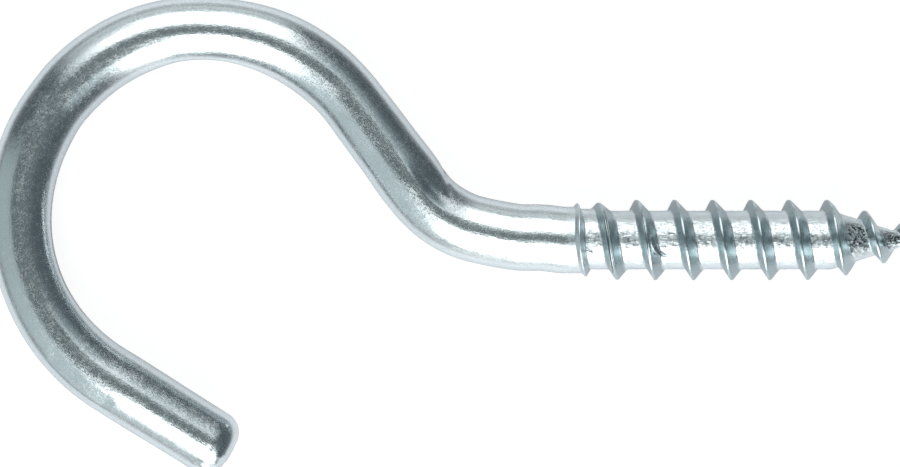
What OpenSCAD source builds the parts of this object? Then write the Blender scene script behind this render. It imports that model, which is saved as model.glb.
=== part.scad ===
// Screw hook: one length of zinc-plated steel wire. One end is rolled into a
// wood-screw thread with a gimlet point, the rest is bent in one plane into
// an open round hook.
//
// Frame: the screw axis is X and the point looks along +X. The origin is on
// that axis at the shoulder, where the plain wire ends and the rolled thread
// begins. The hook is bent in the XY plane, and the part lies flat on it.

/* [Wire] */
// Diameter of the wire
wire_d = 5.8; // [4:0.1:8]
// Radius on the rim of the cut end
end_round = 1.7; // [0.2:0.1:1.9]

/* [Neck] */
// Radius of the gentle bend next to the thread, to the wire's centre
lead_r = 36; // [20:1:60]
// Angle of the gentle bend
lead_turn = 12.5; // [2:0.5:20]
// Radius of the sharp bend, to the wire's centre
elbow_r = 9; // [6:0.5:20]
// Angle of the sharp bend
elbow_turn = 41.5; // [20:0.5:60]
// Straight wire between the sharp bend and the hook
slope_len = 9; // [4:0.2:20]

/* [Hook] */
// Radius of the hook, to the wire's centre
hook_r = 16.3; // [10:0.1:24]
// Angle that the hook wraps
hook_turn = 201.4; // [150:0.2:225]
// Straight wire from the hook to the cut end
tail_len = 12.9; // [4:0.1:16]

/* [Thread] */
// Height of the crest above the plain wire
crest_rise = 0.6; // [0.2:0.05:1.2]
// Depth of the root below the plain wire
root_depth = 0.35; // [0.1:0.05:0.8]
// Height of the low first turn above the plain wire
first_rise = 0.3; // [0.1:0.05:0.6]
// Distance from one turn to the next
pitch = 3.3; // [2:0.05:5]
// Length from the shoulder to the end of the point
thread_len = 30.4; // [20:0.2:60]
// Length of the tapered point
point_len = 7.5; // [4:0.1:12]
// Diameter of the blunt nose at the end of the point
nose_d = 0.5; // [0.3:0.1:1]
// Where round the shoulder the thread begins, from +Y towards +Z
start_angle = -105; // [-180:5:180]

/* [Hidden] */

ZINC = [0.74, 0.77, 0.78];
WIRE_FN = 64;

wire_r = wire_d / 2;
root_r = wire_r - root_depth;
nose_r = nose_d / 2;
taper_x = thread_len - point_len;

// The lengths of wire are joined end to end. Each is slimmer than the one
// before it by SEAM and reaches LAP into the next, so no two surfaces coincide.
// $before counts the lengths that come before the one being drawn.
SEAM = 0.004;
LAP = 0.05;
$before = 0;

// The thread is a strip of rows wound round the core, with TURN_STEPS columns
// to a turn. It starts at a single point on the shoulder and ends at one on
// the nose, and its left edge runs along the right edge of the turn before.
TURN_STEPS = 36;
// Place of each row, as a share of the pitch from the crest
ROW_PLACE = [-0.5, -0.31, -0.23, -0.03, 0.03, 0.23, 0.31, 0.5];
// Height of each row, as a share of the thread's height
ROW_HEIGHT = [0, 0, 0.08, 1, 1, 0.08, 0, 0];
ROWS = len(ROW_PLACE) - 1;
// Turns over which the first ridge rises, and the last one fades
RISE_TURNS = 0.25;
FADE_TURNS = 0.8;

// The thread's first ring of points stays just inside the wire
seat_r = wire_r - 0.01;
strip_len = thread_len - nose_r;
strip_steps = round(strip_len / pitch * TURN_STEPS);
turn_x = strip_len / strip_steps * TURN_STEPS;
last = strip_steps + TURN_STEPS;
turns = last / TURN_STEPS;

// Smooth step from 0 to 1
function ease(u) = let (w = max(0, min(1, u))) w * w * (3 - 2 * w);

// Radius of the core at a distance x from the shoulder
function core_r(x) =
    root_r + (nose_r - root_r) * max(0, x - taper_x) / (strip_len - taper_x);

// Edges of the strip after t turns. The left edge stays on the shoulder for
// the first turn, and the right edge stays on the nose for the last one.
function left_x(t) = max(0, turn_x * (t - 1));
function right_x(t) = min(strip_len, turn_x * t);

// Place of the crest, as a share of the way from the left to the right edge
function lean(t) =
    t < 1 ? 1 - t / 2
    : t > turns - 1 ? 1 - (turns - t) / 2
    : 0.5;

// How much of the wire's own surface is left beside the right edge
function unrolled(t) = pow(1 - min(1, t), 2);

// Radius of the surface under the thread, on the left (-1) or right (1) side
function ground_r(t, x, side) =
    core_r(x)
    + (seat_r - root_r) * (side > 0 ? unrolled(t) : t < 1 ? 1 : unrolled(t - 1));

// Height of the crest above the core
function crest_height(t) =
    (
        t < 1
            ? seat_r - root_r + (wire_r + first_rise - seat_r) * ease(t / RISE_TURNS)
            : root_depth + first_rise + (crest_rise - first_rise) * ease(t - 1)
    )
    * ease((turns - t) / FADE_TURNS);

// Distance of row j along the screw axis after t turns. Where the strip is
// narrow, its rows crowd towards the edges and leave the ridge its width.
function row_x(t, j) =
    let (
        place = ROW_PLACE[j],
        left = left_x(t),
        right = right_x(t),
        crest = left + (right - left) * lean(t),
        room = place < 0 ? crest - left : right - crest,
        offset = min(abs(place) * turn_x, sqrt(2 * abs(place)) * room)
    )
    crest + sign(place) * offset;

// One point of the strip
function strip_point(k, j) =
    let (
        t = k / TURN_STEPS,
        x = t < 1 && j == 0 ? -LAP : row_x(t, j),
        ground = ground_r(t, x, ROW_PLACE[j]),
        top = core_r(x) + crest_height(t),
        r = ground + max(0, top - ground) * ROW_HEIGHT[j],
        angle = start_angle + 360 * t
    )
    [x, r * cos(angle), r * sin(angle)];

// Number of the point in column k and row j. The left row of a column is the
// right row of the column one turn before it, and the first and the last
// column are single points.
function point_no(k, j) =
    k == 0 ? 0
    : k == last ? point_no(last - TURN_STEPS, ROWS)
    : j > 0 ? TURN_STEPS + (k - 1) * ROWS + j - 1
    : k < TURN_STEPS ? k
    : point_no(k - TURN_STEPS, ROWS);

// The two triangles between columns k and k + 1 and rows j and j + 1
function strip_faces(k, j) =
    let (
        a = point_no(k, j),
        b = point_no(k + 1, j),
        c = point_no(k + 1, j + 1),
        d = point_no(k, j + 1)
    )
    [for (f = [[a, d, c], [a, c, b]]) if (f[0] != f[1] && f[1] != f[2] && f[2] != f[0]) f];

module rolled_thread() {
    shoulder = [for (k = [0:TURN_STEPS - 1]) strip_point(k, 0)];
    strip = [for (k = [1:last - 1]) for (j = [1:ROWS]) strip_point(k, j)];
    tip = len(shoulder) + len(strip);
    nose = [
        for (k = [last - TURN_STEPS:last - 1])
            [point_no(k, ROWS), tip, point_no(k + 1, ROWS)]
    ];
    polyhedron(
        points = concat(shoulder, strip, [[thread_len, 0, 0]]),
        faces = concat(
            [[for (k = [0:TURN_STEPS - 1]) k]],
            [for (k = [0:last - 1]) for (j = [0:ROWS - 1]) each strip_faces(k, j)],
            nose
        )
    );
}

// Radius of the length of wire being drawn
function length_r() = wire_r - SEAM * $before;

// Straight wire along +X, then whatever follows from its end
module run(length) {
    rotate([0, 90, 0])
        cylinder(r = length_r(), h = length + LAP, $fn = WIRE_FN);
    translate([length, 0, 0])
        let ($before = $before + 1) children();
}

// Wire bent to the left through an angle, or to the right through a negative
// one, then whatever follows from its end
module bend(radius, turn) {
    side = sign(turn);
    sweep = abs(turn) + LAP / radius * 180 / PI;
    translate([0, side * radius, 0]) {
        rotate([0, 0, side > 0 ? -90 : 90 - sweep])
            rotate_extrude(angle = sweep, $fn = 4 * WIRE_FN)
                translate([radius, 0])
                    circle(r = length_r(), $fn = WIRE_FN);
        rotate([0, 0, turn])
            translate([0, -side * radius, 0])
                let ($before = $before + 1) children();
    }
}

// Straight wire along +X to the cut end, whose rim is rounded
module tail(length) {
    r = length_r();
    rotate([0, 90, 0])
        rotate_extrude($fn = WIRE_FN)
            difference() {
                square([r, length]);
                translate([r - end_round, length - end_round])
                    difference() {
                        square(2 * end_round);
                        circle(r = end_round, $fn = WIRE_FN);
                    }
            }
}

module screw_hook() {
    color(ZINC) {
        rolled_thread();
        rotate([0, 0, 180])
            bend(lead_r, -lead_turn)
                bend(elbow_r, -elbow_turn)
                    run(slope_len)
                        bend(hook_r, hook_turn)
                            tail(tail_len);
    }
}

screw_hook();
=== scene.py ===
"""A screw hook of zinc-plated steel wire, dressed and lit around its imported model.

The hook is one piece: a wire that was bent in one plane, with a wood-screw thread
rolled on its straight end. It lies flat on a pale table and the camera looks
straight down on it. Lengths are in millimetres until a mesh is finished, and in
metres from then on.
"""

import logging
import math
from dataclasses import dataclass
from typing import Iterator, Mapping, Optional, Union

import bpy
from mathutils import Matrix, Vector


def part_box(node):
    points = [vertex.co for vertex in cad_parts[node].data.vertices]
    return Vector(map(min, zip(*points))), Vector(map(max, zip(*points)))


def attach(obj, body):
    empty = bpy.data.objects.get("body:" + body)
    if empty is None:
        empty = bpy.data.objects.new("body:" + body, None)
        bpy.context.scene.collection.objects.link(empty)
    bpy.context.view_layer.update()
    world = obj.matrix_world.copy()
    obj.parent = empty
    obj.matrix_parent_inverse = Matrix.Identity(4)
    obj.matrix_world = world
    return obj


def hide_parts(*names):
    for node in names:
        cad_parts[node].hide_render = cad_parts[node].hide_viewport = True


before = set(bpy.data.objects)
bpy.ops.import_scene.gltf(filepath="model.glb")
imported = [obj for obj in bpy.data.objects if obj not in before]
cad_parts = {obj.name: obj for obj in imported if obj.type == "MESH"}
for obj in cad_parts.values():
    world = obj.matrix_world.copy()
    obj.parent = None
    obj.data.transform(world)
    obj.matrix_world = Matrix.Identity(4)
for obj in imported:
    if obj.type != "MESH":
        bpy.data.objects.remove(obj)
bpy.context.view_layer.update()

LOG = logging.getLogger("screw_hook")
MM = 0.001
NODE = "screw_hook"
BODY = "root"
UNBENT = "unbent_place"
MARKS = "surface_marks"
WHITE = (1.0, 1.0, 1.0)

# Divisors are kept above these, in millimetres.
LEAST_GIRTH = 0.05
LEAST_REACH = 0.01

Number = Union[float, int, "Signal"]
Feed = Union[Number, str, bool, tuple, "bpy.types.ID"]


# ---------------------------------------------------------------- node drawing


class Signal:
    """A value on a node's output, with arithmetic that draws the nodes it needs."""

    def __init__(self, plan: "Plan", socket: bpy.types.NodeSocket) -> None:
        """Hold the socket and the plan that it is drawn on."""
        self.plan = plan
        self.socket = socket

    def __add__(self, other: Number) -> "Signal":
        """Sum."""
        return self.plan.math("ADD", self, other)

    def __radd__(self, other: Number) -> "Signal":
        """Sum, with the number first."""
        return self.plan.math("ADD", other, self)

    def __sub__(self, other: Number) -> "Signal":
        """Difference."""
        return self.plan.math("SUBTRACT", self, other)

    def __rsub__(self, other: Number) -> "Signal":
        """Difference, with the number first."""
        return self.plan.math("SUBTRACT", other, self)

    def __mul__(self, other: Number) -> "Signal":
        """Product."""
        return self.plan.math("MULTIPLY", self, other)

    def __rmul__(self, other: Number) -> "Signal":
        """Product, with the number first."""
        return self.plan.math("MULTIPLY", other, self)

    def __truediv__(self, other: Number) -> "Signal":
        """Quotient."""
        return self.plan.math("DIVIDE", self, other)

    def __neg__(self) -> "Signal":
        """Opposite."""
        return self.plan.math("MULTIPLY", self, -1.0)

    def __pow__(self, power: Number) -> "Signal":
        """Power."""
        return self.plan.math("POWER", self, power)


class Plan:
    """A node tree being drawn: a shape, a finish or the surroundings."""

    def __init__(self, tree: bpy.types.NodeTree) -> None:
        """Hold the tree."""
        self.tree = tree

    def feed(self, socket: bpy.types.NodeSocket, value: Feed) -> None:
        """Link a signal to an input, or set a plain value on it.

        Args:
            socket: The input.
            value: The signal or the value.
        """
        if isinstance(value, Signal):
            self.tree.links.new(value.socket, socket)
        else:
            socket.default_value = value

    def node(
        self,
        kind: str,
        feeds: Optional[Mapping[Union[str, int], Feed]] = None,
        **settings: object,
    ) -> bpy.types.Node:
        """Add a node.

        Args:
            kind: The node's type.
            feeds: What goes into its inputs, by name or number.
            **settings: The node's own options.

        Returns:
            The new node.
        """
        node = self.tree.nodes.new(kind)
        for name, value in settings.items():
            setattr(node, name, value)
        for key, value in (feeds or {}).items():
            self.feed(node.inputs[key], value)
        return node

    def out(
        self,
        kind: str,
        feeds: Optional[Mapping[Union[str, int], Feed]] = None,
        output: Union[str, int] = 0,
        **settings: object,
    ) -> Signal:
        """Add a node as `node` does and return the signal on one of its outputs."""
        return Signal(self, self.node(kind, feeds, **settings).outputs[output])

    def math(self, operation: str, *values: Number) -> Signal:
        """Add a Math node with up to three values."""
        return self.out("ShaderNodeMath", dict(enumerate(values)), operation=operation)

    def lesser(self, one: Number, other: Number) -> Signal:
        """The lesser of two values."""
        return self.math("MINIMUM", one, other)

    def greater(self, one: Number, other: Number) -> Signal:
        """The greater of two values."""
        return self.math("MAXIMUM", one, other)

    def ease(self, value: Number, start: Number = 0.0, end: Number = 1.0) -> Signal:
        """A smooth step from 0, where the value is at the start, to 1 at the end."""
        feeds = {0: value, 1: start, 2: end}
        return self.out("ShaderNodeMapRange", feeds, interpolation_type="SMOOTHSTEP")

    def band(self, value: Number, ends: tuple[float, float], soft: tuple[float, float]) -> Signal:
        """1 between two ends and 0 outside them.

        Args:
            value: The value to place.
            ends: The two ends.
            soft: The half width of each end's soft edge.

        Returns:
            The share, from 0 to 1.
        """
        begun = self.ease(value, ends[0] - soft[0], ends[0] + soft[0])
        ended = self.ease(value, ends[1] - soft[1], ends[1] + soft[1])
        return begun * (1.0 - ended)

    def spread(self, value: Number, low: float, high: float, to_low: float, to_high: float) -> Signal:
        """A value moved linearly from one range to another, and kept inside it."""
        return self.out("ShaderNodeMapRange", {0: value, 1: low, 2: high, 3: to_low, 4: to_high})

    def hump(self, distance: Number, width: Number) -> Signal:
        """A bell that is 1 at no distance and nearly gone two widths away."""
        share = self.math("DIVIDE", distance, width)
        return self.math("EXPONENT", -(share * share))

    def vector(self, x: Number, y: Number, z: Number) -> Signal:
        """A vector from its three parts."""
        return self.out("ShaderNodeCombineXYZ", {0: x, 1: y, 2: z})

    def parts(self, vector: Signal) -> tuple[Signal, Signal, Signal]:
        """The three parts of a vector."""
        x, y, z = self.node("ShaderNodeSeparateXYZ", {0: vector}).outputs
        return Signal(self, x), Signal(self, y), Signal(self, z)

    def girth(self, across: Signal, up: Signal) -> Signal:
        """How far a place on the unbent wire is from its axis."""
        return self.math("SQRT", across * across + up * up)

    def scaled(self, vector: Signal, factor: Number) -> Signal:
        """A vector times a number."""
        return self.out("ShaderNodeVectorMath", {"Vector": vector, "Scale": factor}, operation="SCALE")

    def mixed(self, share: Number, one: Feed, other: Feed) -> Signal:
        """A colour from the first, at a share of 0, to the second, at 1."""
        feeds = {"Factor": share, 6: one, 7: other}
        return self.out("ShaderNodeMix", feeds, output=2, data_type="RGBA")

    def noise(self, place: Signal, size: float, seed: float, detail: float = 2.0) -> Signal:
        """Smooth noise around 0.5.

        Args:
            place: Where to read it.
            size: Size of its blobs, in the place's own unit.
            seed: Which pattern.
            detail: How many finer layers lie on it.

        Returns:
            The noise.
        """
        feeds = {"Vector": place, "W": seed, "Scale": 1.0 / size, "Detail": detail}
        return self.out("ShaderNodeTexNoise", feeds, noise_dimensions="4D")

    def waves(self, place: Signal, size: float, seed: float, detail: float = 2.0) -> Signal:
        """The same noise around 0."""
        return self.noise(place, size, seed, detail) - 0.5


class ShapePlan(Plan):
    """A geometry node tree with named inputs, which is run once and leaves a plain mesh."""

    def __init__(self, name: str) -> None:
        """Start an empty tree with one geometry going in and one coming out.

        Args:
            name: The tree's name.
        """
        tree = bpy.data.node_groups.new(name, "GeometryNodeTree")
        super().__init__(tree)
        for way in ("INPUT", "OUTPUT"):
            tree.interface.new_socket("Geometry", in_out=way, socket_type="NodeSocketGeometry")
        self._entry = tree.nodes.new("NodeGroupInput")
        self._values: dict[str, Feed] = {}

    def start(self) -> Signal:
        """The geometry that the object brings."""
        return Signal(self, self._entry.outputs["Geometry"])

    def named(self, name: str, kind: str, value: Feed) -> Signal:
        """Add a named input.

        Args:
            name: The input's name.
            kind: The kind of socket.
            value: Its value when the tree is run.

        Returns:
            The input's signal.
        """
        socket = self.tree.interface.new_socket(name, in_out="INPUT", socket_type=kind)
        self._values[socket.identifier] = value
        return Signal(self, self._entry.outputs[name])

    def size(self, name: str, value: float) -> Signal:
        """Add a named input for a size."""
        return self.named(name, "NodeSocketFloat", float(value))

    def count(self, name: str, value: int) -> Signal:
        """Add a named input for a whole number."""
        return self.named(name, "NodeSocketInt", value)

    def place(self) -> Signal:
        """The place of each point."""
        return self.out("GeometryNodeInputPosition")

    def moved(self, shape: Signal, place: Signal) -> Signal:
        """The shape with its points set to new places."""
        return self.out("GeometryNodeSetPosition", {"Geometry": shape, "Position": place})

    def shifted(self, shape: Signal, offset: Signal) -> Signal:
        """The shape with its points shifted."""
        return self.out("GeometryNodeSetPosition", {"Geometry": shape, "Offset": offset})

    def joined(self, *shapes: Signal) -> Signal:
        """Several shapes as one.

        Args:
            *shapes: The shapes to join.

        Returns:
            The joined shape.
        """
        node = self.node("GeometryNodeJoinGeometry")
        for shape in shapes:
            self.feed(node.inputs[0], shape)
        return Signal(self, node.outputs[0])

    def noted(self, shape: Signal, name: str, kind: str, value: Signal) -> Signal:
        """The shape with a value kept on its points under a name."""
        feeds = {"Geometry": shape, "Name": name, "Value": value}
        return self.out("GeometryNodeStoreNamedAttribute", feeds, data_type=kind, domain="POINT")

    def recalled(self, name: str, kind: str) -> Signal:
        """A value that was kept on the points."""
        return self.out("GeometryNodeInputNamedAttribute", {"Name": name}, data_type=kind)

    def close(self, shape: Signal, finish: bpy.types.Material) -> None:
        """End the tree: smooth shading, real geometry and the finish.

        Args:
            shape: The shape that comes out.
            finish: Its material.
        """
        smooth = self.out("GeometryNodeSetShadeSmooth", {"Geometry": shape})
        real = self.out("GeometryNodeRealizeInstances", {"Geometry": smooth})
        material = self.named("Finish", "NodeSocketMaterial", finish)
        dressed = self.out("GeometryNodeSetMaterial", {"Geometry": real, "Material": material})
        self.node("NodeGroupOutput", {"Geometry": dressed})

    def run(self, start: bpy.types.Object) -> bpy.types.Mesh:
        """Run the tree on an object.

        Args:
            start: The object that the tree begins with. It is removed.

        Returns:
            The mesh that comes out.
        """
        modifier = start.modifiers.new("Shape", "NODES")
        modifier.node_group = self.tree
        for identifier, value in self._values.items():
            modifier[identifier] = value
        graph = bpy.context.evaluated_depsgraph_get()
        mesh = bpy.data.meshes.new_from_object(start.evaluated_get(graph))
        start.modifiers.remove(modifier)
        bpy.data.objects.remove(start)
        return mesh


def opaque(colour: tuple[float, float, float]) -> tuple[float, float, float, float]:
    """A colour with its alpha."""
    return (*colour, 1.0)


def add_object(name: str, data: bpy.types.ID) -> bpy.types.Object:
    """Put new data into the scene under a name.

    Args:
        name: The object's name.
        data: Its mesh, curve or camera.

    Returns:
        The new object.
    """
    made = bpy.data.objects.new(name, data)
    bpy.context.scene.collection.objects.link(made)
    return made


# ------------------------------------------------------------------ the finish


@dataclass(frozen=True)
class ZincPlate:
    """Bright zinc plating on drawn wire. Lengths in millimetres.

    Each stretch says how many times longer along the wire a pattern is than across it.
    Each step is where a reading begins and ends to count, and each ramp is a reading's
    range and the range that it is turned into.
    """

    colour: tuple[float, float, float] = (0.74, 0.805, 0.825)
    dull_colour: tuple[float, float, float] = (0.66, 0.73, 0.75)
    # Painted shade: a darker teal on the thread's ridges that stands for the shaded table they
    # reflect.
    ridge_painted_shade_colour: tuple[float, float, float] = (0.50, 0.585, 0.605)
    pit_colour: tuple[float, float, float] = (0.05, 0.065, 0.07)
    cloud_size: float = 1.8
    cloud_gloss: float = 0.6
    cloud_shade: float = 0.5
    cloud_ramp: tuple[float, float, float, float] = (0.38, 0.62, 0.65, 1.25)
    shade_ramp: tuple[float, float, float, float] = (0.15, 0.5, 0.0, 1.0)
    smoothest: float = 0.12
    roughest: float = 0.17
    rough_range: tuple[float, float] = (0.35, 0.65)
    scuffed: float = 0.28
    grain_size: float = 0.12
    grain_stretch: float = 3.0
    grain_height: float = 0.0108
    fleck_size: float = 0.10
    fleck_stretch: float = 1.5
    fleck_step: tuple[float, float] = (0.34, 0.60)
    fleck_shade: float = 0.2
    fleck_bloom: float = 0.025
    fleck_rough: float = 0.135
    mottle_size: float = 0.5
    mottle_ramp: tuple[float, float, float, float] = (0.36, 0.62, 0.6, 1.25)
    ripple_size: float = 0.75
    ripple_height: float = 0.012
    streak_size: float = 0.16
    streak_stretch: float = 9.0
    streak_height: float = 0.002
    root_gain: float = 3.0
    root_rough: float = 0.13
    root_stain: float = 0.5
    stain_size: float = 0.22
    stain_step: tuple[float, float] = (0.49, 0.64)
    stain_facing: tuple[float, float] = (0.76, 0.90)
    ridge_polish: float = 0.8
    ridge_rough: float = 0.08
    pit_gain: float = 4.0
    pit_size: float = 0.17
    pit_step: tuple[float, float] = (0.50, 0.58)
    seed: float = 4.0

    def stretched(self, plan: Plan, place: Signal, stretch: float) -> Signal:
        """The place squeezed along the wire, so that a pattern on it is longer that way."""
        along, across, up = plan.parts(place)
        return plan.vector(along / stretch, across, up)

    def flecks(self, plan: Plan, place: Signal) -> Signal:
        """Draw the brushed flecks, which are thicker in some places than in others.

        Args:
            plan: The plan to draw on.
            place: The place on the unbent wire.

        Returns:
            How much of a fleck there is.
        """
        brushed = self.stretched(plan, place, self.fleck_stretch)
        fleck = plan.ease(plan.noise(brushed, self.fleck_size, self.seed + 4.0), *self.fleck_step)
        mottle = plan.noise(place, self.mottle_size, self.seed + 5.0, 1.0)
        return fleck * plan.spread(mottle, *self.mottle_ramp)

    def specks(self, plan: Plan, place: Signal, pitted: Signal, root: Signal) -> Signal:
        """Draw the dark specks: in the pits, and as stains on the roots' upper side.

        Args:
            plan: The plan to draw on.
            place: The place on the unbent wire.
            pitted: How pitted it is.
            root: How far it is in a root of the thread.

        Returns:
            How dark a speck is, from 0 to 1.
        """
        _, across, up = plan.parts(place)
        upright = plan.math("ABSOLUTE", up) / plan.greater(LEAST_GIRTH, plan.girth(across, up))
        stain = plan.ease(plan.noise(place, self.stain_size, self.seed + 7.0), *self.stain_step)
        stain = stain * plan.ease(upright, *self.stain_facing)
        speck = plan.ease(plan.noise(place, self.pit_size, self.seed + 6.0, 1.0), *self.pit_step)
        return plan.greater(speck * pitted, stain * root * self.root_stain)

    def material(self) -> bpy.types.Material:
        """Make the material.

        Returns:
            The new material.
        """
        made = bpy.data.materials.new("bright_zinc_plate")
        made.use_nodes = True
        made.node_tree.nodes.clear()
        plan = Plan(made.node_tree)
        place = plan.out("ShaderNodeAttribute", output="Vector", attribute_name=UNBENT)
        marks = plan.out("ShaderNodeAttribute", output="Vector", attribute_name=MARKS)
        pitted, scuffed, rolled = plan.parts(marks)
        root, ridge = plan.greater(0.0, rolled), plan.greater(0.0, -rolled)
        combed = self.stretched(plan, place, self.grain_stretch)
        drawn = self.stretched(plan, place, self.streak_stretch)
        cloud = plan.noise(place, self.cloud_size, self.seed + 2.0, 3.0)
        streak = plan.noise(drawn, self.streak_size, self.seed + 3.0)
        fleck = self.flecks(plan, place) * (1.0 - ridge * self.ridge_polish)

        shade = plan.spread(cloud * self.cloud_shade + fleck * self.fleck_shade, *self.shade_ramp)
        colour = plan.mixed(shade, opaque(self.dull_colour), opaque(self.colour))
        # Painted shade: the ridges, both flanks and crests, take the darker teal in place of reflected
        # shade.
        colour = plan.mixed(ridge, colour, opaque(self.ridge_painted_shade_colour))
        speck = self.specks(plan, place, pitted, root)
        colour = plan.mixed(speck, colour, opaque(self.pit_colour))

        rough = cloud * self.cloud_gloss + streak * (1.0 - self.cloud_gloss)
        rough = plan.spread(rough, *self.rough_range, self.smoothest, self.roughest)
        rough = rough + fleck * self.fleck_rough + scuffed * (self.scuffed - self.roughest)
        rough = rough + root * self.root_rough + ridge * self.ridge_rough

        gain = 1.0 + root * (self.root_gain - 1.0) + pitted * (self.pit_gain - 1.0)
        gain = gain * plan.spread(cloud, *self.cloud_ramp)
        grain = plan.waves(combed, self.grain_size, self.seed, 1.5) * gain
        ripple = plan.waves(combed, self.ripple_size, self.seed + 1.0, 1.0)
        height = grain * self.grain_height + ripple * self.ripple_height
        height = (height + (streak - 0.5) * self.streak_height) * MM
        relief = plan.out("ShaderNodeBump", {"Strength": 1.0, "Distance": 1.0, "Height": height})

        feeds = {"Base Color": colour, "Metallic": 1.0 - fleck * self.fleck_bloom}
        feeds |= {"Roughness": rough, "Normal": relief}
        surface = plan.out("ShaderNodeBsdfPrincipled", feeds)
        plan.node("ShaderNodeOutputMaterial", {"Surface": surface})
        return made


# -------------------------------------------------------------------- the wire


@dataclass(frozen=True)
class Stretch:
    """A length of wire of one curvature, which is positive to the left."""

    length: float
    curvature: float = 0.0

    @classmethod
    def bend(cls, radius: float, turn: float) -> "Stretch":
        """A bend of a radius through an angle in degrees, to the left if positive."""
        return cls(radius * math.radians(abs(turn)), math.copysign(1.0 / radius, turn))


@dataclass(frozen=True)
class Swell:
    """A place where bending left the wire a little thicker, thinner or flatter."""

    at: float
    spread: float
    gain: float

    def share(self, along: float) -> float:
        """How much of it there is at a distance along the wire."""
        return self.gain * math.exp(-(((along - self.at) / self.spread) ** 2))

    def drawn(self, plan: Plan, along: Signal) -> Signal:
        """The same share, drawn as nodes."""
        return plan.hump(along - self.at, self.spread) * self.gain


@dataclass
class BentWire:
    """The plain wire, from the thread's shoulder to the cut end. Lengths in millimetres.

    The swells are where bending changed its thickness, and the flats are where the inside
    of the hook was pressed flat against the bending die.
    """

    radius: float
    sides: int
    shoulder_run: float = 0.4
    lead_radius: float = 31.6
    lead_turn: float = 13.94
    elbow_radius: float = 8.77
    elbow_turn: float = 39.31
    slope_length: float = 9.39
    hook_radius: float = 16.71
    hook_turn: float = 62.47
    kink_radius: float = 4.3
    kink_turn: float = 3.5
    back_radius: float = 16.57
    back_turn: float = 135.32
    tail_length: float = 12.4
    end_round: float = 1.9
    end_dome: float = 0.10
    ring_step: float = 0.36
    end_rings: int = 14
    cap_rings: int = 4
    swells: tuple[Swell, ...] = (
        Swell(at=15.6, spread=2.0, gain=0.10),
        Swell(at=24.5, spread=2.5, gain=-0.06),
        Swell(at=38.5, spread=5.0, gain=-0.06),
        Swell(at=54.0, spread=1.6, gain=-0.06),
        Swell(at=68.0, spread=7.5, gain=-0.07),
        Swell(at=82.5, spread=4.4, gain=0.07),
    )
    flats: tuple[Swell, ...] = (
        Swell(at=38.5, spread=5.0, gain=0.28),
        Swell(at=69.5, spread=7.5, gain=0.28),
    )
    bow: Swell = Swell(at=2.3, spread=1.8, gain=0.21)

    def stretches(self) -> list[Stretch]:
        """The wire's lengths, in order from the shoulder.

        Returns:
            The lengths, straight and bent.
        """
        return [
            Stretch(self.shoulder_run),
            Stretch.bend(self.lead_radius, -self.lead_turn),
            Stretch.bend(self.elbow_radius, -self.elbow_turn),
            Stretch(self.slope_length),
            Stretch.bend(self.hook_radius, self.hook_turn),
            Stretch.bend(self.kink_radius, self.kink_turn),
            Stretch.bend(self.back_radius, self.back_turn),
            Stretch(self.tail_length - self.end_round),
        ]

    def sway(self, along: float) -> float:
        """How far the wire bows out just past the shoulder, away from the thread's axis."""
        return max(0.0, self.bow.share(along) - self.bow.share(self.shoulder_run))

    def rings(self) -> Iterator[tuple[Vector, float]]:
        """Walk along the wire.

        Yields:
            The place and the radius of each ring, from the shoulder to the middle of the cut end.
        """
        place = Vector((0.0, 0.0, 0.0))
        heading = math.pi
        along = 0.0
        yield place.copy(), self.radius
        for stretch in self.stretches():
            steps = max(1, math.ceil(stretch.length / self.ring_step))
            step = stretch.length / steps
            turn = stretch.curvature * step
            chord = step if turn == 0 else 2.0 * math.sin(turn / 2.0) / stretch.curvature
            for _ in range(steps):
                middle = heading + turn / 2.0
                place = place + chord * Vector((math.cos(middle), math.sin(middle), 0.0))
                heading += turn
                along += step
                inward = Vector((-math.sin(heading), math.cos(heading), 0.0))
                shift = sum(flat.share(along) for flat in self.flats) / 2.0 - self.sway(along)
                yield place + shift * inward, self.radius + sum(s.share(along) for s in self.swells)
        forward = Vector((math.cos(heading), math.sin(heading), 0.0))
        for number in range(1, self.end_rings + 1):
            angle = math.radians(90.0 * number / self.end_rings)
            reach = self.end_round * math.sin(angle)
            yield place + reach * forward, self.radius - self.end_round * (1.0 - math.cos(angle))
        face = self.radius - self.end_round
        for number in range(1, self.cap_rings + 1):
            share = 1.0 - number / self.cap_rings
            reach = self.end_round + self.end_dome * (1.0 - share**2)
            yield place + reach * forward, face * share

    def centreline(self) -> bpy.types.Object:
        """The middle of the wire as a curve whose radius is the wire's.

        Returns:
            The curve's object, which the hook's shape begins with.
        """
        rings = list(self.rings())
        curve = bpy.data.curves.new("wire_centreline", "CURVE")
        curve.dimensions = "3D"
        curve.twist_mode = "Z_UP"
        spline = curve.splines.new("POLY")
        spline.points.add(len(rings) - 1)
        for point, (place, radius) in zip(spline.points, rings):
            point.co = (*place, 1.0)
            point.radius = radius
        return add_object("wire_centreline", curve)

    def swept(self, plan: ShapePlan) -> Signal:
        """Draw the wire: a round section carried along the centreline.

        Args:
            plan: The plan to draw on, whose own geometry is the centreline.

        Returns:
            The wire's surface, with each point's place on the unbent wire kept on it.
        """
        sides = plan.count("Wire sides", self.sides)
        circle = plan.out("GeometryNodeCurvePrimitiveCircle", {"Resolution": sides, "Radius": 1.0})
        section = plan.noted(circle, "section", "FLOAT_VECTOR", plan.place())
        radius = plan.out("GeometryNodeInputRadius")
        along = plan.out("GeometryNodeSplineParameter", output="Length")
        line = plan.noted(plan.start(), "along", "FLOAT", along)
        line = plan.noted(line, "thickness", "FLOAT", radius)
        feeds = {"Curve": line, "Profile Curve": section, "Scale": radius}
        wire = plan.out("GeometryNodeCurveToMesh", feeds)
        side, top, _ = plan.parts(plan.recalled("section", "FLOAT_VECTOR"))
        thickness = plan.recalled("thickness", "FLOAT")
        back = -plan.recalled("along", "FLOAT")
        unbent = plan.vector(back, side * thickness, -(top * thickness))
        return plan.noted(wire, UNBENT, "FLOAT_VECTOR", unbent)


# ------------------------------------------------------------------ the thread


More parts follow.
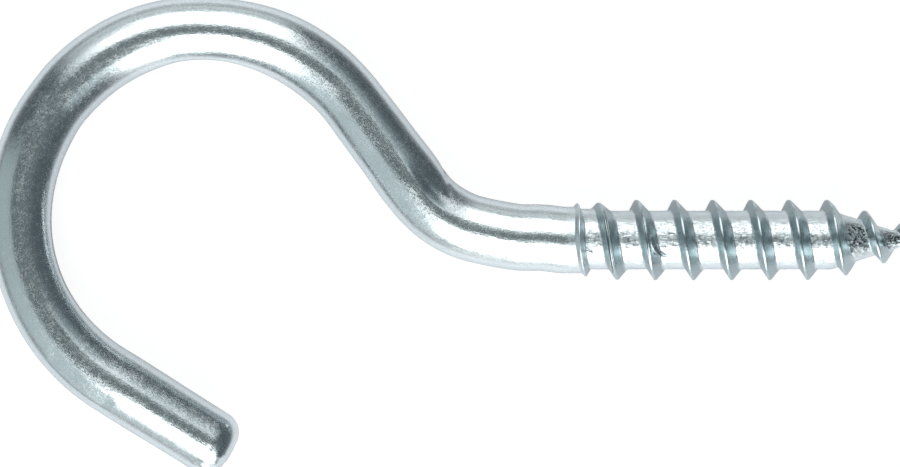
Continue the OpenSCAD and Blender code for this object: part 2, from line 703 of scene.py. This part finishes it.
@dataclass
class RolledThread:
    """The wood-screw thread, its first ring and the gimlet point. Lengths in millimetres.

    The second turn's crest is a twin, with a groove between. Turns are counted from the
    shoulder, and a pair of values is where something begins and ends to come or to go.
    """

    wire_radius: float
    length: float
    crest_radius: float
    columns: int
    pitch: float = 3.32
    root_depth: float = 0.35
    point_length: float = 7.5
    nose_radius: float = 0.25
    nose_rings: int = 5
    start_angle: float = -105.0
    crest_half: float = 0.08
    crest_round: float = 0.03
    crest_steps: int = 2
    crest_rows: tuple[float, ...] = (0.4, 0.0)
    crest_tilt: float = 0.012
    flank_width: float = 0.667
    flank_rows: tuple[float, ...] = (0.1, 0.5, 0.9)
    foot_round: float = 0.20
    foot_steps: int = 4
    foot_lead: float = 0.16
    foot_sway: float = 0.08
    foot_start: tuple[float, float] = (0.0, 3.0)
    valley_rows: int = 5
    first_rise: float = 0.3
    rise_turns: float = 0.25
    fade_turns: float = 0.8
    end_crowding: float = 0.15
    twin_width: float = 0.08
    twin_depth: float = 0.11
    twin_reach: float = 0.1
    twin_rise: tuple[float, float] = (0.9, 1.15)
    twin_fade: tuple[float, float] = (2.1, 2.8)
    twin_facing: tuple[float, float] = (0.05, 0.5)
    ring_squeeze: float = 0.5
    ring_squeeze_power: float = 4.0
    ring_squeeze_fade: tuple[float, float] = (0.8, 1.3)
    ring_dip: float = 0.36
    ring_dip_turn: float = 0.56
    ring_dip_width: float = 0.16
    root_share: float = 0.15
    root_start: tuple[float, float] = (1.1, 2.0)

    def half_section(self) -> list[tuple[float, float]]:
        """Half of the ridge's section, from the middle of the valley to the crest.

        Returns:
            Distance from the ridge's middle in millimetres, and height above the root as a
            share of the ridge's full height.
        """
        tall = self.crest_radius - self.wire_radius + self.root_depth
        slope = math.atan2(tall, self.flank_width)
        valley = self.pitch / 2.0
        edge = self.crest_half + self.flank_width + self.foot_round * math.tan(slope / 2.0)
        outline = [
            (valley + (edge - valley) * row / self.valley_rows, 0.0)
            for row in range(self.valley_rows)
        ]
        for number in range(self.foot_steps + 1):
            angle = slope * number / self.foot_steps
            across = edge - self.foot_round * math.sin(angle)
            outline.append((across, self.foot_round * (1.0 - math.cos(angle))))
        shoulder = self.crest_half - self.crest_round * math.tan(slope / 2.0)
        crown = []
        for number in range(self.crest_steps + 1):
            angle = slope * (1.0 - number / self.crest_steps)
            across = shoulder + self.crest_round * math.sin(angle)
            crown.append((across, tall - self.crest_round * (1.0 - math.cos(angle))))
        low, high = outline[-1], crown[0]
        for share in self.flank_rows:
            outline.append((low[0] + (high[0] - low[0]) * share, low[1] + (high[1] - low[1]) * share))
        outline += crown
        outline += [(self.crest_half * share, tall) for share in self.crest_rows]
        return [(across, height / tall) for across, height in outline]

    def tilt(self, across: float) -> float:
        """How much of its height the crest loses at a distance from the ridge's middle."""
        return self.crest_tilt * min(1.0, max(0.0, 0.5 + across / self.crest_half / 2.0))

    def section(self) -> list[tuple[float, float]]:
        """The whole section of one pitch, from valley to valley.

        Returns:
            Distance from the ridge's middle, and height as a share of the full height.
        """
        left = [(-across, height) for across, height in self.half_section()]
        right = [(across, height) for across, height in reversed(self.half_section()[:-1])]
        return [(across, height * (1.0 - self.tilt(across))) for across, height in left + right]

    def strip_length(self) -> float:
        """How far along the axis the wound strip reaches."""
        return self.length - self.nose_radius

    def steps(self) -> int:
        """How many columns take the strip from the shoulder to the nose."""
        return round(self.strip_length() / self.pitch * self.columns)

    def lead(self) -> float:
        """The pitch, made to fit a whole number of columns."""
        return self.strip_length() / self.steps() * self.columns

    def ribbon(self) -> bpy.types.Object:
        """The thread before it is wound: a flat strip that carries the ridge's section.

        Returns:
            A mesh whose X is in turns, whose Y is a share of the pitch and whose Z is a
            share of the ridge's height.
        """
        section = self.section()
        rows = len(section)
        last = self.steps() + self.columns
        points = [
            (column / self.columns, across / self.pitch, height)
            for column in range(last + 1)
            for across, height in section
        ]
        faces = [
            (corner, corner + rows, corner + rows + 1, corner + 1)
            for column in range(last)
            for corner in range(column * rows, column * rows + rows - 1)
        ]
        mesh = bpy.data.meshes.new("thread_ribbon")
        mesh.from_pydata(points, [], faces)
        return add_object("thread_ribbon", mesh)

    def wound(self, plan: ShapePlan, ribbon: bpy.types.Object) -> Signal:
        """Draw the thread: the ribbon wound round the core, from the shoulder to the nose.

        Args:
            plan: The plan to draw on.
            ribbon: The flat strip.

        Returns:
            The thread's surface, with each point's place and marks kept on it.
        """
        turns = (self.steps() + self.columns) / self.columns
        lead = plan.size("Pitch", self.lead())
        reach = plan.size("Strip length", self.strip_length())
        wire = plan.size("Wire radius", self.wire_radius)
        root = plan.size("Root radius", self.wire_radius - self.root_depth)
        crest = plan.size("Crest radius", self.crest_radius)
        first = plan.size("First turn's rise", self.first_rise)
        nose = plan.size("Nose radius", self.nose_radius)
        taper = plan.size("Point begins", self.length - self.point_length)
        begin = plan.size("Start angle", math.radians(self.start_angle))
        half = plan.size("Crest half width", self.crest_half)
        flank = plan.size("Flank width", self.flank_width)
        widening = plan.size("Twin crest's widening", self.twin_width)
        groove = plan.size("Twin crest's groove", self.twin_depth)

        source = plan.named("Ribbon", "NodeSocketObject", ribbon)
        strip = plan.out("GeometryNodeObjectInfo", {"Object": source}, output="Geometry")
        turn, share, height = plan.parts(plan.place())

        angle = begin + turn * (2.0 * math.pi)
        side = plan.math("SIGN", share)
        away = plan.math("ABSOLUTE", share)
        on_right = plan.math("GREATER_THAN", share, 0.0)
        left = plan.greater(0.0, lead * (turn - 1.0))
        right = plan.lesser(reach, lead * turn)
        opening = plan.greater(0.0, 1.0 - turn)
        middle = left + (lead * turn - left) * (0.5 + opening * 0.5)
        middle = plan.lesser(middle, reach - (reach - left) * self.end_crowding)
        middle = middle - self.ring_dip * plan.hump(turn - self.ring_dip_turn, self.ring_dip_width)

        twin = plan.ease(turn, *self.twin_rise) * (1.0 - plan.ease(turn, *self.twin_fade))
        twin = twin * plan.ease(plan.math("SINE", angle), *self.twin_facing)
        spare = away * lead
        slide = plan.lesser(spare / half, (half + flank + self.twin_reach - spare) / flank)
        wide = spare + widening * twin * plan.greater(0.0, slide)
        squeeze = self.ring_squeeze * (1.0 - plan.ease(turn, *self.ring_squeeze_fade))
        wide = wide * (1.0 - squeeze * (1.0 - (away * 2.0) ** self.ring_squeeze_power))
        room = (middle - left) * (1.0 - on_right) + (right - middle) * on_right
        x = middle + side * plan.lesser(wide, plan.math("SQRT", away * 2.0) * room)
        lean = self.foot_lead + self.foot_sway * plan.math("COSINE", angle)
        lean = lean * plan.ease(x, *self.foot_start) * (1.0 - plan.ease(x, taper, reach))
        x = x + (1.0 - height) * lean

        beneath = x + (middle - x) * height
        core = root + (nose - root) * plan.greater(0.0, beneath - taper) / (reach - taper)
        unrolled_right = plan.greater(0.0, 1.0 - turn) ** 2.0
        unrolled_left = plan.lesser(1.0, plan.greater(0.0, 2.0 - turn)) ** 2.0
        unrolled = unrolled_left + (unrolled_right - unrolled_left) * on_right
        ground = core + (wire - root) * unrolled
        ring = (wire - root) + first * plan.ease(turn, 0.0, self.rise_turns)
        full = (wire - root) + first + (crest - wire - first) * plan.ease(turn, 1.0, 2.0)
        is_ring = plan.math("LESS_THAN", turn, 1.0)
        rise = (full + (ring - full) * is_ring) * plan.ease(turns - turn, 0.0, self.fade_turns)
        lip = groove * twin * plan.greater(0.0, 1.0 - spare / half)
        radius = ground + plan.greater(0.0, core + rise - ground) * height - lip

        place = plan.vector(x, radius * plan.math("COSINE", angle), radius * plan.math("SINE", angle))
        low = 1.0 - plan.ease(height, 0.0, self.root_share) * 2.0
        strip = plan.noted(strip, "rolled", "FLOAT", low * plan.ease(x, *self.root_start))
        strip = plan.noted(strip, UNBENT, "FLOAT_VECTOR", place)
        return plan.moved(strip, plan.recalled(UNBENT, "FLOAT_VECTOR"))

    def nose(self, plan: ShapePlan) -> Signal:
        """Draw the round nose that closes the wound strip's end.

        Args:
            plan: The plan to draw on.

        Returns:
            The nose's surface, with each point's place kept on it.
        """
        feeds = {"Vertices": self.columns, "Side Segments": self.nose_rings, "Radius Top": 0.0}
        feeds |= {"Radius Bottom": 1.0, "Depth": 1.0}
        cone = plan.out("GeometryNodeMeshCone", feeds, fill_type="NONE")
        first, second, share = plan.parts(plan.place())
        angle = share * (math.pi / 2.0)
        girth = self.nose_radius * plan.math("COSINE", angle) / (1.0 - share)
        x = self.strip_length() + self.nose_radius * plan.math("SINE", angle)
        place = plan.vector(x, girth * first, girth * second)
        cone = plan.noted(cone, UNBENT, "FLOAT_VECTOR", place)
        return plan.moved(cone, plan.recalled(UNBENT, "FLOAT_VECTOR"))


@dataclass(frozen=True)
class Patch:
    """A length of the screw hook where its surface is marked."""

    start: float
    end: float
    soft: float

    def mask(self, plan: Plan, along: Signal) -> Signal:
        """How strongly a place along the unbent wire is marked, from 0 to 1."""
        return plan.band(along, (self.start, self.end), (self.soft, self.soft))


@dataclass(frozen=True)
class Burr:
    """A sliver of metal that the thread-rolling dies tore up. Lengths in millimetres.

    Each of the three bends is a place on the round of the thread: along the axis, the angle
    in degrees from straight up towards -Y, and the distance from the axis. The places across
    are where its top has corners, as shares of its width.
    """

    bends: tuple[tuple[float, float, float], ...]
    width: float
    height: float
    facing: tuple[float, float, float] = (0.3, 0.0, 0.95)
    sink: float = 0.25
    bluntness: float = 0.8
    rings: int = 24
    nearby: float = 0.01
    across: tuple[float, ...] = (0.5, 0.4, -0.4, -0.5)

    def place(self, share: float) -> tuple[Vector, Vector]:
        """Its middle and the way out from the axis, at a share of its length.

        Args:
            share: The share, from 0 to 1.

        Returns:
            The middle's place, and the unit vector outwards.
        """
        first, middle, last = (Vector(bend) for bend in self.bends)
        rest = 1.0 - share
        x, angle, radius = first * rest**2 + middle * (2.0 * share * rest) + last * share**2
        outward = Vector((0.0, -math.sin(math.radians(angle)), math.cos(math.radians(angle))))
        return Vector((x, 0.0, 0.0)) + outward * radius, outward

    def shell(self) -> tuple[list[Vector], list[tuple[int, ...]]]:
        """Its corners and faces: a blade with a keel, which ends in a point at both ends.

        Returns:
            The corners, and the faces by their corners' numbers.
        """
        corners: list[Vector] = []
        for number in range(1, self.rings):
            share = number / self.rings
            middle, outward = self.place(share)
            after, before = self.place(share + self.nearby)[0], self.place(share - self.nearby)[0]
            ahead = (after - before).normalized()
            side = ahead.cross(Vector(self.facing)).normalized()
            top = side.cross(ahead)
            size = math.sin(math.pi * share**self.bluntness) ** self.bluntness
            crest = middle + top * (self.height * size)
            corners += [crest + side * (self.width * size * part) for part in self.across]
            corners.append(middle - outward * (self.sink * size))
        first, last = len(corners), len(corners) + 1
        corners += [self.place(0.0)[0], self.place(1.0)[0]]
        faces: list[tuple[int, ...]] = []
        count = len(self.across) + 1
        end = first - count
        for edge in range(count):
            after = (edge + 1) % count
            faces.append((first, edge, after))
            faces.append((last, end + after, end + edge))
            for ring in range(0, end, count):
                near, far = ring + edge, ring + after
                faces.append((near, near + count, far + count, far))
        return corners, faces


@dataclass
class ScrewHook:
    """The whole hook: the bent wire and its thread, welded into one skin. Lengths in millimetres.

    A place along is measured on the unbent wire, positive on the thread. A pair of values
    for what is across or facing is where a mark begins and where it is at its full depth.
    """

    sides: int = 120
    crest_radius: float = 3.5
    thread_height: float = 0.6
    weld_gap: float = 0.002
    unevenness: float = 0.022
    uneven_size: float = 4.0
    hammering: float = 0.13
    hammer_size: float = 0.30
    pit_depth: float = 0.12
    pit_size: float = 0.36
    pits: tuple[Patch, ...] = (Patch(24.2, 26.0, 0.3), Patch(27.8, 30.4, 0.3))
    pit_lean: float = 15.0
    pit_facing: tuple[float, float] = (0.78, 0.93)
    scuff: Patch = Patch(-0.05, 1.3, 0.12)
    crease_at: float = -14.6
    crease_slant: float = 1.1
    crease_width: float = 0.32
    crease_across: tuple[float, float] = (1.3, 2.4)
    crease_depth: float = 0.09
    dent_at: float = -14.0
    dent_width: float = 2.2
    dent_across: tuple[float, float] = (0.2, 1.1)
    dent_depth: float = 0.24
    dent_edge: tuple[float, float] = (1.6, 2.8)
    dent_edge_loss: float = 0.6
    die_mark: Patch = Patch(76.0, 82.3, 0.14)
    die_angle: float = 36.0
    die_depth: float = 0.09
    cut: Patch = Patch(91.2, 96.0, 0.5)
    cut_across: tuple[float, float] = (-0.3, 0.9)
    cut_size: float = 0.45
    cut_height: float = 0.3
    burrs: tuple[Burr, ...] = (
        Burr(((7.10, -9.0, 3.3), (7.4, 25.0, 3.0), (8.65, 34.0, 2.6)), width=0.40, height=0.12),
        Burr(((1.20, 17.0, 3.05), (1.75, 15.0, 2.95), (2.25, 31.0, 2.62)), width=0.10, height=0.05),
        Burr(((1.17, 20.0, 2.95), (1.15, 42.0, 2.95), (1.52, 52.0, 2.75)), width=0.14, height=0.08),
    )
    seed: float = 11.0

    def torn(self) -> bpy.types.Object:
        """Make the burrs as one loose mesh.

        Returns:
            The mesh's object, which the hook's shape takes in.
        """
        corners: list[Vector] = []
        faces: list[tuple[int, ...]] = []
        for burr in self.burrs:
            more, around = burr.shell()
            faces += [tuple(corner + len(corners) for corner in face) for face in around]
            corners += more
        mesh = bpy.data.meshes.new("burrs")
        mesh.from_pydata(corners, [], faces)
        return add_object("burrs", mesh)

    def marked(self, plan: ShapePlan, skin: Signal) -> Signal:
        """Draw the skin's marks: the pits, the scuff and the rolled roots.

        Args:
            plan: The plan to draw on.
            skin: The skin, with each point's place on the unbent wire.

        Returns:
            The skin with its marks kept on its points.
        """
        along, across, up = plan.parts(plan.recalled(UNBENT, "FLOAT_VECTOR"))
        rolled = plan.recalled("rolled", "FLOAT")
        lean = math.radians(self.pit_lean)
        facing = across * math.sin(lean) + up * math.cos(lean)
        facing = facing / plan.greater(LEAST_GIRTH, plan.girth(across, up))
        pitted: Number = 0.0
        for patch in self.pits:
            pitted = patch.mask(plan, along) + pitted
        pitted = pitted * plan.ease(facing, *self.pit_facing) * plan.greater(0.0, rolled)
        marks = plan.vector(pitted, self.scuff.mask(plan, along), rolled)
        return plan.noted(skin, MARKS, "FLOAT_VECTOR", marks)

    def pressed(self, plan: ShapePlan, wire: BentWire) -> Signal:
        """Draw how far the bending dies pressed the wire in: the flats inside, the mark outside.

        Args:
            plan: The plan to draw on.
            wire: The wire, which knows its flats.

        Returns:
            The depth.
        """
        along, across, up = plan.parts(plan.recalled(UNBENT, "FLOAT_VECTOR"))
        run = -along
        radius = plan.girth(across, up)
        flat: Number = 0.0
        for swell in wire.flats:
            flat = swell.drawn(plan, run) + flat
        lean = math.radians(self.die_angle)
        facing = across * math.sin(lean) + up * math.cos(lean)
        stamp = plan.size("Die mark depth", self.die_depth) * self.die_mark.mask(plan, run)
        pressed: Number = 0.0
        for depth, toward in ((flat, -across), (stamp, facing)):
            kept = (radius - depth) * radius / plan.greater(LEAST_REACH, toward)
            pressed = plan.greater(0.0, radius - kept) + pressed
        return pressed * plan.math("GREATER_THAN", run, 0.0)

    def worn(self, plan: ShapePlan, wire: BentWire, skin: Signal) -> Signal:
        """Draw the skin's unevenness: slow waves, dimples, pits, the ragged cut and the presses.

        Args:
            plan: The plan to draw on.
            wire: The wire, which knows its flats.
            skin: The skin, with its places and marks.

        Returns:
            The uneven skin.
        """
        place = plan.recalled(UNBENT, "FLOAT_VECTOR")
        along, across, up = plan.parts(place)
        pitted, _, rolled = plan.parts(plan.recalled(MARKS, "FLOAT_VECTOR"))
        raised = plan.waves(place, self.uneven_size, self.seed, 1.0)
        raised = raised * plan.size("Unevenness", self.unevenness)
        dimples = plan.waves(place, self.hammer_size, self.seed + 1.0, 1.0) * plan.greater(0.0, rolled)
        raised = raised + dimples * plan.size("Root dimples", self.hammering)
        pits = plan.waves(place, self.pit_size, self.seed + 2.0) * pitted
        raised = raised + pits * plan.size("Pit depth", self.pit_depth)
        ragged = plan.waves(place, self.cut_size, self.seed + 3.0) * self.cut.mask(plan, -along)
        ragged = ragged * plan.ease(across, *self.cut_across)
        raised = raised + ragged * plan.size("Cut end's raggedness", self.cut_height)
        crease = plan.hump(along - self.crease_at - up * self.crease_slant, self.crease_width)
        crease = crease * plan.ease(across, *self.crease_across)
        raised = raised - crease * plan.size("Crease depth", self.crease_depth)
        dent = plan.hump(along - self.dent_at, self.dent_width) * plan.ease(across, *self.dent_across)
        dent = dent * (1.0 - plan.ease(across, *self.dent_edge) * self.dent_edge_loss)
        raised = raised - dent * plan.size("Elbow dent depth", self.dent_depth)
        raised = raised - self.pressed(plan, wire)
        normal = plan.out("GeometryNodeInputNormal")
        return plan.shifted(skin, plan.scaled(normal, raised))

    def build(self, finish: ZincPlate) -> bpy.types.Object:
        """Build the hook.

        Args:
            finish: What its surface is like.

        Returns:
            The finished piece, riding on the hook's body.
        """
        _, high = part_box(NODE)
        wire_radius = self.crest_radius - self.thread_height
        wire = BentWire(radius=wire_radius, sides=self.sides)
        thread = RolledThread(
            wire_radius=wire_radius,
            length=high.x / MM,
            crest_radius=self.crest_radius,
            columns=self.sides,
        )
        plan = ShapePlan("Screw hook")
        ribbon, burrs = thread.ribbon(), self.torn()
        source = plan.named("Burrs", "NodeSocketObject", burrs)
        torn = plan.out("GeometryNodeObjectInfo", {"Object": source}, output="Geometry")
        torn = plan.noted(torn, UNBENT, "FLOAT_VECTOR", plan.place())
        skin = plan.joined(wire.swept(plan), thread.wound(plan, ribbon), thread.nose(plan))
        weld = {"Geometry": skin, "Distance": plan.size("Weld gap", self.weld_gap)}
        skin = plan.joined(plan.out("GeometryNodeMergeByDistance", weld), torn)
        skin = self.worn(plan, wire, self.marked(plan, skin))
        skin = plan.moved(skin, plan.scaled(plan.place(), MM))
        plan.close(skin, finish.material())
        mesh = plan.run(wire.centreline())
        bpy.data.objects.remove(ribbon)
        bpy.data.objects.remove(burrs)
        for name in ("section", "along", "thickness", "rolled"):
            mesh.attributes.remove(mesh.attributes[name])
        hook = add_object("zinc_screw_hook", mesh)
        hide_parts(NODE)
        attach(hook, BODY)
        return hook


# ------------------------------------------------------------------- the studio


@dataclass(frozen=True)
class Panel:
    """A patch of the studio round the hook. Angles in degrees, colours as light.

    The azimuth runs from +X towards +Y, and the fall is the angle down from straight up.
    Each softness is the half width of the patch's fading edge.
    """

    colour: tuple[float, float, float]
    azimuth: tuple[float, float] = (-180.0, 180.0)
    fall: tuple[float, float] = (-90.0, 270.0)
    azimuth_soft: tuple[float, float] = (3.0, 3.0)
    fall_soft: tuple[float, float] = (3.0, 3.0)

    def cover(self, plan: Plan, direction: tuple[Signal, Signal], fall: Signal) -> Signal:
        """How much of a direction the patch covers.

        Args:
            plan: The plan to draw on.
            direction: The direction's X and Y.
            fall: The direction's fall.

        Returns:
            The share, from 0 to 1.
        """
        inside = plan.band(fall, self.fall, self.fall_soft)
        half = (self.azimuth[1] - self.azimuth[0]) / 2.0
        if half >= 180.0:
            return inside
        heading = math.radians((self.azimuth[0] + self.azimuth[1]) / 2.0)
        x, y = direction
        ahead = x * math.cos(heading) + y * math.sin(heading)
        aside = y * math.cos(heading) - x * math.sin(heading)
        turn = plan.math("DEGREES", plan.math("ARCTAN2", aside, ahead))
        return inside * plan.band(turn, (-half, half), self.azimuth_soft)


@dataclass
class Studio:
    """The pale table, the light panels round it and the camera above it. Lengths in metres."""

    height: float = 0.6
    view_width: float = 0.07838
    aim_x: float = -0.01029
    aim_y: float = 0.00057
    sensor: float = 36.0
    slate: tuple[float, float, float] = (0.085, 0.108, 0.12)
    north_white: float = 2.2
    south_white: float = 3.3
    table_half: float = 3.0
    table_paint: float = 0.25
    table_glow: float = 0.88
    table_colour: tuple[float, float, float] = (0.60, 0.61, 0.625)
    # Painted glow that only the hook's reflections see, shaded near the hook into a painted shadow.
    table_painted_glow: tuple[float, float, float] = (0.46, 0.465, 0.48)
    table_reach: float = 0.010
    table_samples: int = 6
    table_shade: float = 1.6
    table_ior: float = 1.7
    table_roughness: float = 0.3
    # Painted dimming of the table, as the hook sees it, at grazing angles.
    table_grazing: tuple[float, float] = (0.50, 0.85)
    table_painted_dimming: float = 0.8

    def camera(self) -> None:
        """Put the camera straight above the hook, looking down on it."""
        data = bpy.data.cameras.new("overhead")
        data.sensor_width = self.sensor
        data.lens = self.sensor * self.height / self.view_width
        data.clip_start = 0.01
        camera = add_object("overhead_camera", data)
        camera.location = (self.aim_x, self.aim_y, self.height)
        bpy.context.scene.camera = camera

    def table_finish(self) -> bpy.types.Material:
        """The table's finish: white to the camera, and to the hook a faint gloss with a pale painted
        glow, a painted shadow near the hook and painted dimming at grazing angles.

        Returns:
            The new material.
        """
        made = bpy.data.materials.new("white_table")
        made.use_nodes = True
        made.node_tree.nodes.clear()
        plan = Plan(made.node_tree)
        rays = plan.node("ShaderNodeLightPath")
        seen = Signal(plan, rays.outputs["Is Camera Ray"])
        mirrored = Signal(plan, rays.outputs["Is Glossy Ray"])
        paint = plan.mixed(seen, opaque(self.table_colour), opaque((self.table_paint,) * 3))
        matt = plan.out("ShaderNodeBsdfDiffuse", {"Color": paint})
        feeds = {"Color": opaque(WHITE), "Strength": seen * self.table_glow}
        glow = plan.out("ShaderNodeEmission", feeds)
        # Painted glow for glossy rays, darkened by ambient occlusion into a painted shadow near the
        # hook.
        reach = {"Distance": self.table_reach}
        sky = plan.out("ShaderNodeAmbientOcclusion", reach, "AO", samples=self.table_samples)
        feeds = {"Color": opaque(self.table_painted_glow), "Strength": mirrored * sky**self.table_shade}
        painted_glow = plan.out("ShaderNodeEmission", feeds)
        gloss = plan.out("ShaderNodeBsdfAnisotropic", {"Roughness": self.table_roughness})
        sheen = plan.out("ShaderNodeFresnel", {"IOR": self.table_ior}) * mirrored
        plain = plan.out("ShaderNodeAddShader", {0: matt, 1: painted_glow})
        # Painted dimming at grazing angles, for glossy rays only.
        slant = plan.out("ShaderNodeLayerWeight", {"Blend": 0.5}, output="Facing")
        dusk = plan.ease(slant, *self.table_grazing) * mirrored * self.table_painted_dimming
        plain = plan.out("ShaderNodeMixShader", {0: dusk, 1: plain})
        plain = plan.out("ShaderNodeMixShader", {0: sheen, 1: plain, 2: gloss})
        surface = plan.out("ShaderNodeAddShader", {0: plain, 1: glow})
        plan.node("ShaderNodeOutputMaterial", {"Surface": surface})
        return made

    def table(self) -> bpy.types.Object:
        """Lay the pale table under the hook.

        Returns:
            The table, kept out of the part.
        """
        low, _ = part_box(NODE)
        half = self.table_half
        corners = [(-half, -half), (half, -half), (half, half), (-half, half)]
        mesh = bpy.data.meshes.new("table")
        mesh.from_pydata([(x, y, low.z) for x, y in corners], [], [(0, 1, 2, 3)])
        mesh.materials.append(self.table_finish())
        table = add_object("table", mesh)
        return table

    def panels(self) -> list[Panel]:
        """The patches of light and dark round the table.

        Returns:
            The patches, of which a later one covers an earlier one.
        """
        north, south = (self.north_white,) * 3, (self.south_white,) * 3
        return [
            Panel((0.13, 0.155, 0.165), fall=(-90.0, 36.0), fall_soft=(1.0, 22.0)),
            Panel((0.25, 0.29, 0.285), (66.0, 112.0), (3.0, 20.0), (8.0, 8.0), (3.0, 3.0)),
            Panel((0.25, 0.29, 0.285), (246.0, 292.0), (3.0, 20.0), (8.0, 8.0), (3.0, 3.0)),
            Panel((0.34, 0.40, 0.42), (36.0, 66.0), (20.0, 48.0), (5.0, 3.0), (3.0, 18.0)),
            Panel((0.74, 0.77, 0.78), (68.0, 133.0), (60.0, 100.0), (4.0, 6.0), (6.0, 4.0)),
            Panel((0.46, 0.50, 0.51), (66.0, 134.0), (73.0, 81.0), (6.0, 6.0), (2.0, 2.0)),
            Panel((0.80, 0.86, 0.88), (116.0, 135.0), (29.0, 60.0), (4.0, 4.0), (4.0, 10.0)),
            Panel(north, (104.0, 125.0), (25.0, 56.0), (4.0, 5.0), (4.0, 7.0)),
            Panel(north, (66.5, 112.0), (24.0, 67.0), (1.5, 4.0), (4.0, 3.0)),
            Panel(north, (80.0, 112.0), (19.5, 40.0), (8.0, 4.0), (3.5, 3.0)),
            Panel((0.86, 0.93, 0.95), (38.0, 67.0), (21.0, 28.0), (7.0, 2.0), (2.0, 2.0)),
            Panel((0.42, 0.48, 0.49), (162.0, 238.5), (32.0, 100.0), (1.0, 1.0), (5.0, 4.0)),
            Panel((0.56, 0.63, 0.645), (204.0, 238.5), (32.0, 100.0), (16.0, 1.0), (5.0, 4.0)),
            Panel((0.70, 0.77, 0.78), (231.5, 238.5), (32.0, 56.0), (4.0, 1.0), (5.0, 20.0)),
            Panel((0.44, 0.52, 0.54), (296.0, 315.0), (27.0, 58.0), (4.0, 5.0), (4.0, 12.0)),
            Panel((0.76, 0.81, 0.82), (236.0, 300.0), (62.0, 104.0), (1.0, 4.0), (6.0, 4.0)),
            Panel(south, (237.2, 276.0), (18.0, 68.0), (0.8, 3.0), (2.0, 7.0)),
            Panel(south, (247.0, 276.0), (60.0, 81.0), (5.0, 3.0), (3.0, 1.0)),
            Panel(south, (262.0, 293.0), (85.0, 96.0), (5.0, 4.0), (1.0, 3.0)),
            Panel(south, (274.0, 297.5), (34.0, 88.0), (3.0, 3.0), (5.0, 5.0)),
            Panel((0.22, 0.25, 0.26), (240.0, 298.0), (80.0, 86.0), (4.0, 4.0), (1.2, 1.2)),
            Panel((0.14, 0.16, 0.17), (240.0, 264.0), (79.0, 87.0), (4.0, 4.0), (1.0, 1.0)),
        ]

    def surroundings(self) -> None:
        """Make the studio: dark slate, with its panels, and plain white to the camera."""
        world = bpy.data.worlds.new("studio")
        bpy.context.scene.world = world
        world.use_nodes = True
        world.node_tree.nodes.clear()
        plan = Plan(world.node_tree)
        x, y, z = plan.parts(plan.out("ShaderNodeTexCoord", output="Generated"))
        fall = plan.math("DEGREES", plan.math("ARCCOSINE", z))
        light: Feed = opaque(self.slate)
        for panel in self.panels():
            light = plan.mixed(panel.cover(plan, (x, y), fall), light, opaque(panel.colour))
        rays = plan.node("ShaderNodeLightPath")
        light = plan.mixed(Signal(plan, rays.outputs["Is Camera Ray"]), light, opaque(WHITE))
        back = plan.out("ShaderNodeBackground", {"Color": light})
        plan.node("ShaderNodeOutputWorld", {"Surface": back})

    def set_up(self) -> None:
        """Build the camera, the table and the surroundings."""
        self.camera()
        self.table()
        self.surroundings()
        bpy.context.scene.view_settings.view_transform = "Standard"


def main() -> None:
    """Build the scene and report each piece."""
    logging.basicConfig(level=logging.INFO, format="%(name)s: %(message)s")
    Studio().set_up()
    hook = ScrewHook().build(ZincPlate())
    LOG.info("%s has %d faces", hook.name, len(hook.data.polygons))


if __name__ == "__main__":
    main()
